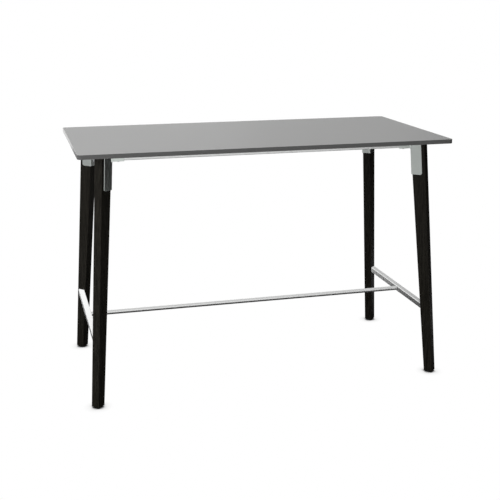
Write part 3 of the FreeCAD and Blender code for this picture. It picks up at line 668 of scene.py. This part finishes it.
@dataclass
class Glide:
    """Levelling glide of one foot: a round pad and the threaded stud that carries it."""

    corner: Corner
    around: int = 48
    rim: float = 0.8 * MM
    rim_steps: int = 6
    pad_crease: float = math.radians(35)
    pitch: float = 1.25 * MM
    thread_depth: float = 0.6 * MM
    steps_per_turn: int = 6
    stud_radius: float = 4 * MM
    thread_crease: float = math.radians(30)
    flange_height: float = 2.5 * MM
    flange_sides: int = 6
    flange_edge: float = 0.3 * MM
    flats: float = 13 * MM

    def build(self) -> None:
        """Make the pad and the stud on their own bodies."""
        tag = self.corner.tag
        low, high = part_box(f"glide_pad_{tag}")
        middle = (low + high) / 2
        pad = painted(self._turned(f"pad_{tag}", self._pad_outline(low, high), middle), PLASTIC)
        add_piece(f"round_pad_{tag}", pad, f"pad_{tag}", f"glide_pad_{tag}")
        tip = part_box(f"glide_stud_{tag}")[1].z
        stud = painted(self._stud(f"stud_{tag}", middle, high.z, tip), STEEL)
        add_piece(f"threaded_stud_{tag}", stud, f"stud_{tag}", f"glide_stud_{tag}")

    def _pad_outline(self, low: Vector, high: Vector) -> list[tuple[float, float]]:
        """Radius and height of the pad's outline, from below."""
        radius = (high.x - low.x) / 2
        outline = [(0.0, low.z), (radius - self.rim, low.z)]
        for step in range(1, self.rim_steps + 1):
            angle = math.pi / 2 * step / self.rim_steps
            outline.append((radius - self.rim + self.rim * math.sin(angle),
                            low.z + self.rim - self.rim * math.cos(angle)))
        outline += [(radius, high.z - self.rim / 2), (radius - self.rim / 2, high.z), (0.0, high.z)]
        return outline

    def _ring(self, shape: bmesh.types.BMesh, middle: Vector, height: float,
              radii: list[float]) -> list[bmesh.types.BMVert]:
        """Ring of points about the glide's axis.

        Args:
            shape: Shape that takes the points.
            middle: Point on the axis.
            height: Height of the ring.
            radii: Distance of each point from the axis, in turn.

        Returns:
            The points in order.
        """
        ring = []
        for step, radius in enumerate(radii):
            angle = 2 * math.pi * step / self.around
            ring.append(shape.verts.new((middle.x + radius * math.cos(angle),
                                         middle.y + radius * math.sin(angle), height)))
        return ring

    def _turned(self, name: str, outline: list[tuple[float, float]], middle: Vector) -> bpy.types.Mesh:
        """Surface of revolution about the glide's axis.

        Args:
            name: Name of the mesh.
            outline: Radius and height of each point, the first and last on the axis.
            middle: Point on the axis.

        Returns:
            The closed mesh.
        """
        shape = bmesh.new()
        first = shape.verts.new((middle.x, middle.y, outline[0][1]))
        last = shape.verts.new((middle.x, middle.y, outline[-1][1]))
        rings = [self._ring(shape, middle, height, [radius] * self.around)
                 for radius, height in outline[1:-1]]
        for step in range(self.around):
            after = (step + 1) % self.around
            shape.faces.new((first, rings[0][after], rings[0][step]))
            shape.faces.new((last, rings[-1][step], rings[-1][after]))
            for lower, upper in zip(rings, rings[1:]):
                shape.faces.new((lower[step], lower[after], upper[after], upper[step]))
        bmesh.ops.recalc_face_normals(shape, faces=shape.faces)
        mesh = bpy.data.meshes.new(name)
        shape.to_mesh(mesh)
        shape.free()
        mesh.shade_smooth()
        mesh.set_sharp_from_angle(angle=self.pad_crease)
        return mesh

    def _stud(self, name: str, middle: Vector, floor: float, tip: float) -> bpy.types.Mesh:
        """Hexagon and right-hand thread of the stud.

        Args:
            name: Name of the mesh.
            middle: Point on the axis.
            floor: Height of the hexagon's lower face.
            tip: Height of the stud's upper end.

        Returns:
            The mesh of both.
        """
        shape = bmesh.new()
        radius = self.flats / math.sqrt(3)
        place = Matrix.Translation((middle.x, middle.y, floor + self.flange_height / 2))
        bmesh.ops.create_cone(shape, cap_ends=True, segments=self.flange_sides, radius1=radius,
                              radius2=radius, depth=self.flange_height, matrix=place)
        rims = [edge for edge in shape.edges
                if abs(edge.verts[0].co.z - edge.verts[1].co.z) < LEVEL_SLACK]
        bmesh.ops.bevel(shape, geom=rims, offset=self.flange_edge, segments=1, affect="EDGES")
        start = floor + self.flange_height
        rows = int((tip - start) / self.pitch * self.steps_per_turn)
        rings = []
        for row in range(rows + 1):
            height = start + (tip - start) * row / rows
            turns = (height - start) / self.pitch
            shares = [(turns - step / self.around) % 1.0 for step in range(self.around)]
            radii = [self.stud_radius - self.thread_depth * abs(2 * share - 1) for share in shares]
            rings.append(self._ring(shape, middle, height, radii))
        for step in range(self.around):
            after = (step + 1) % self.around
            for lower, upper in zip(rings, rings[1:]):
                shape.faces.new((lower[step], lower[after], upper[after], upper[step]))
        shape.faces.new(rings[-1])
        shape.faces.new(list(reversed(rings[0])))
        mesh = bpy.data.meshes.new(name)
        shape.to_mesh(mesh)
        shape.free()
        mesh.shade_smooth()
        mesh.set_sharp_from_angle(angle=self.thread_crease)
        return mesh


def grey(level: float) -> tuple[float, float, float, float]:
    """Opaque grey of a level from 0 to 1, or brighter for a light."""
    return (level, level, level, 1.0)


def bare_material(name: str) -> bpy.types.Material:
    """New material with an empty node tree."""
    material = bpy.data.materials.new(name)
    material.use_nodes = True
    material.node_tree.nodes.clear()
    return material


@dataclass(frozen=True)
class Card:
    """Glowing card of the studio that paints a reflection on the silver: its middle, its two half sides and
    its brightness.
    """

    name: str
    middle: Vector
    across: Vector
    along: Vector
    level: float

    def corners(self) -> list[Vector]:
        """Corners of the card in order."""
        return [self.middle - self.across - self.along, self.middle + self.across - self.along,
                self.middle + self.across + self.along, self.middle - self.across + self.along]


@dataclass(frozen=True)
class Shade:
    """Painted shade of the floor from ambient occlusion near the object: the reach, and the brightness at
    each openness.
    """

    reach: float
    stops: tuple[tuple[float, float], ...]
    samples: int = 16

    def brightness(self, tree: bpy.types.NodeTree) -> bpy.types.NodeSocket:
        """Brightness of the floor, with the painted shade.

        Args:
            tree: Node tree of the floor.

        Returns:
            The socket with the brightness.
        """
        openness = tree.nodes.new("ShaderNodeAmbientOcclusion")
        openness.samples = self.samples
        openness.inputs["Distance"].default_value = self.reach
        curve = tree.nodes.new("ShaderNodeValToRGB")
        elements = curve.color_ramp.elements
        for element, (position, level) in zip(elements, (self.stops[0], self.stops[-1])):
            element.position = position
            element.color = grey(level)
        for position, level in self.stops[1:-1]:
            elements.new(position).color = grey(level)
        tree.links.new(openness.outputs["AO"], curve.inputs["Fac"])
        return curve.outputs["Color"]


@dataclass(frozen=True)
class Lamp:
    """Softbox of the studio: where it hangs, what it is aimed at, its side and its power."""

    name: str
    place: Vector
    aim: Vector
    side: float
    watts: float


# Half the height of the upright cards.
CARD_RISE = Vector((0.0, 0.0, 1.55))


@dataclass
class Studio:
    """Camera, floor, world, cards and lamps."""

    camera_place: tuple[float, float, float] = (-1.07731, -4.04706, 1.69701)
    yaw: float = math.radians(14.911)
    pitch: float = math.radians(15.498)
    focal_pixels: float = 936.11
    picture_pixels: float = 500.0
    sensor: float = 36.0
    view_reach: float = 200.0
    floor_half: float = 30.0
    floor_matt: float = 0.35
    bright_side: tuple[float, float, float] = (-0.80, -0.45, 0.40)
    side_range: tuple[float, float] = (-0.75, 0.75)
    surround_levels: tuple[float, float] = (0.15, 0.60)
    # Painted shadows: round the feet for the camera, and of the whole desk on the floor as seen in
    # reflections.
    contact: Shade = Shade(0.045, ((0.25, 0.0), (0.55, 0.14), (0.67, 0.64), (0.8, 0.89), (1.0, 1.0)))
    reflected: Shade = Shade(2.0, ((0.6, 0.03), (0.92, 0.05), (0.96, 0.17), (0.985, 0.5), (1.0, 1.0)))
    # Painted reflections: glowing cards hidden from the camera; the near-black right card paints dark
    # reflections on faces that turn to the right.
    cards: tuple[Card, ...] = (
        Card("left_card", Vector((-4.2, 0.0, 1.65)), Vector((0.0, 4.5, 0.0)), CARD_RISE, 0.56),
        Card("front_card", Vector((0.0, -6.0, 1.65)), Vector((4.0, 0.0, 0.0)), CARD_RISE, 1.0),
        Card("back_card", Vector((-2.0, 5.5, 1.65)), Vector((3.76, 1.37, 0.0)), CARD_RISE, 1.35),
        Card("gap_card", Vector((2.6, 6.05, 1.65)), Vector((0.8, -0.85, 0.0)), CARD_RISE, 0.6),
        Card("right_card", Vector((3.4, 0.0, 1.65)), Vector((0.0, 5.2, 0.0)), CARD_RISE, 0.01),
        Card("overhead_card", Vector((0.0, 0.5, 4.2)), Vector((3.5, 0.0, 0.0)),
             Vector((0.0, 3.5, 0.0)), 0.7),
    )
    lamps: tuple[Lamp, ...] = (
        Lamp("top_softbox", Vector((0.1, 0.9, 3.6)), Vector((0.0, 0.0, 1.0)), 3.0, 29.0),
        Lamp("left_softbox", Vector((-2.6, -1.4, 1.5)), Vector((0.0, 0.0, 0.8)), 1.5, 36.0),
    )

    def build(self) -> None:
        """Set up the whole studio."""
        bpy.context.scene.view_settings.view_transform = "Standard"
        self._camera()
        self._floor()
        self._world()
        for card in self.cards:
            self._card(card)
        for lamp in self.lamps:
            self._lamp(lamp)

    def _camera(self) -> None:
        """Camera of the photograph."""
        data = bpy.data.cameras.new("view")
        data.sensor_width = self.sensor
        data.lens = self.sensor * self.focal_pixels / self.picture_pixels
        data.clip_end = self.view_reach
        camera = bpy.data.objects.new("view", data)
        level = math.cos(self.pitch)
        forward = Vector((math.sin(self.yaw) * level, math.cos(self.yaw) * level, -math.sin(self.pitch)))
        camera.location = self.camera_place
        camera.rotation_mode = "QUATERNION"
        camera.rotation_quaternion = forward.to_track_quat("-Z", "Y")
        bpy.context.scene.collection.objects.link(camera)
        bpy.context.scene.camera = camera

    def _floor(self) -> None:
        """Plain white floor with a painted shadow round the feet for the camera and a painted shadow of the
        desk for reflections.
        """
        half = self.floor_half
        mesh = bpy.data.meshes.new("floor")
        corners = [(-half, -half, 0), (half, -half, 0), (half, half, 0), (-half, half, 0)]
        mesh.from_pydata(corners, [], [(0, 1, 2, 3)])
        floor = bpy.data.objects.new("floor", mesh)
        bpy.context.scene.collection.objects.link(floor)
        material = bare_material("white_floor")
        tree = material.node_tree
        choice = tree.nodes.new("ShaderNodeMix")
        choice.data_type = "RGBA"
        glow = tree.nodes.new("ShaderNodeEmission")
        matt = tree.nodes.new("ShaderNodeBsdfDiffuse")
        matt.inputs["Color"].default_value = grey(self.floor_matt)
        mix = tree.nodes.new("ShaderNodeMixShader")
        output = tree.nodes.new("ShaderNodeOutputMaterial")
        factor, first, second = (choice.inputs[number] for number in MIX_COLOUR_INPUTS)
        # Painted shade: the glow is dimmed by ambient occlusion, round the feet for the camera and under
        # the desk for glossy rays.
        tree.links.new(seen_ray(tree, ("Is Glossy Ray",)), factor)
        tree.links.new(self.contact.brightness(tree), first)
        tree.links.new(self.reflected.brightness(tree), second)
        tree.links.new(choice.outputs[MIX_COLOUR_OUTPUT], glow.inputs["Color"])
        tree.links.new(seen_ray(tree, WHITE_RAYS), mix.inputs["Fac"])
        tree.links.new(matt.outputs[0], mix.inputs[1])
        tree.links.new(glow.outputs[0], mix.inputs[2])
        tree.links.new(mix.outputs[0], output.inputs["Surface"])
        mesh.materials.append(material)

    def _world(self) -> None:
        """White background, with a soft light that is brighter from the left and dim from the right."""
        world = bpy.data.worlds.new("studio")
        world.use_nodes = True
        tree = world.node_tree
        tree.nodes.clear()
        place = tree.nodes.new("ShaderNodeTexCoord")
        side = tree.nodes.new("ShaderNodeVectorMath")
        side.operation = "DOT_PRODUCT"
        side.inputs[1].default_value = Vector(self.bright_side).normalized()
        tree.links.new(place.outputs["Generated"], side.inputs[0])
        level = tree.nodes.new("ShaderNodeMapRange")
        level.interpolation_type = "SMOOTHSTEP"
        settings = zip(("From Min", "From Max", "To Min", "To Max"), self.side_range + self.surround_levels)
        for name, setting in settings:
            level.inputs[name].default_value = setting
        tree.links.new(side.outputs["Value"], level.inputs["Value"])
        surround = tree.nodes.new("ShaderNodeBackground")
        tree.links.new(level.outputs["Result"], surround.inputs["Color"])
        white = tree.nodes.new("ShaderNodeBackground")
        mix = tree.nodes.new("ShaderNodeMixShader")
        white.inputs["Color"].default_value = grey(1.0)
        tree.links.new(seen_ray(tree, WHITE_RAYS), mix.inputs["Fac"])
        tree.links.new(surround.outputs[0], mix.inputs[1])
        tree.links.new(white.outputs[0], mix.inputs[2])
        output = tree.nodes.new("ShaderNodeOutputWorld")
        tree.links.new(mix.outputs[0], output.inputs["Surface"])
        bpy.context.scene.world = world

    @staticmethod
    def _card(card: Card) -> None:
        """Soft glowing card that paints a reflection on the silver, hidden from the eye.

        Args:
            card: Place and brightness of the card.
        """
        mesh = bpy.data.meshes.new(card.name)
        mesh.from_pydata(card.corners(), [], [(0, 1, 2, 3)])
        thing = bpy.data.objects.new(card.name, mesh)
        thing.visible_camera = False
        bpy.context.scene.collection.objects.link(thing)
        material = bare_material(card.name)
        tree = material.node_tree
        glow = tree.nodes.new("ShaderNodeEmission")
        glow.inputs["Color"].default_value = grey(card.level)
        output = tree.nodes.new("ShaderNodeOutputMaterial")
        tree.links.new(glow.outputs[0], output.inputs["Surface"])
        mesh.materials.append(material)

    @staticmethod
    def _lamp(lamp: Lamp) -> None:
        """Square softbox that lights the object and is not itself seen.

        Args:
            lamp: Place, aim, size and power of the lamp.
        """
        data = bpy.data.lights.new(lamp.name, "AREA")
        data.shape = "SQUARE"
        data.size = lamp.side
        data.energy = lamp.watts
        thing = bpy.data.objects.new(lamp.name, data)
        thing.visible_camera = False
        thing.visible_glossy = False
        thing.location = lamp.place
        thing.rotation_mode = "QUATERNION"
        thing.rotation_quaternion = (lamp.aim - lamp.place).to_track_quat("-Z", "Y")
        bpy.context.scene.collection.objects.link(thing)


def seen_ray(tree: bpy.types.NodeTree, kinds: tuple[str, ...]) -> bpy.types.NodeSocket:
    """Socket that is 1 for rays of the given kinds.

    Args:
        tree: Node tree of a material or the world.
        kinds: Outputs of the Light Path node.

    Returns:
        The socket.
    """
    rays = tree.nodes.new("ShaderNodeLightPath")
    seen = rays.outputs[kinds[0]]
    for kind in kinds[1:]:
        either = tree.nodes.new("ShaderNodeMath")
        either.operation = "MAXIMUM"
        tree.links.new(seen, either.inputs[0])
        tree.links.new(rays.outputs[kind], either.inputs[1])
        seen = either.outputs[0]
    return seen


def main() -> None:
    """Build the desk's pieces and the studio."""
    logging.basicConfig(level=logging.INFO, format="%(name)s: %(message)s")
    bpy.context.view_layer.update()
    plan = CornerPlan()
    screws = ScrewNodes()
    TableTop().dress()
    UnderFrame(plan, screws).build()
    Legs(plan, screws).build()
    Footrest().build()
    for corner in Corner:
        Glide(corner).build()
    Studio().build()


if __name__ == "__main__":
    main()
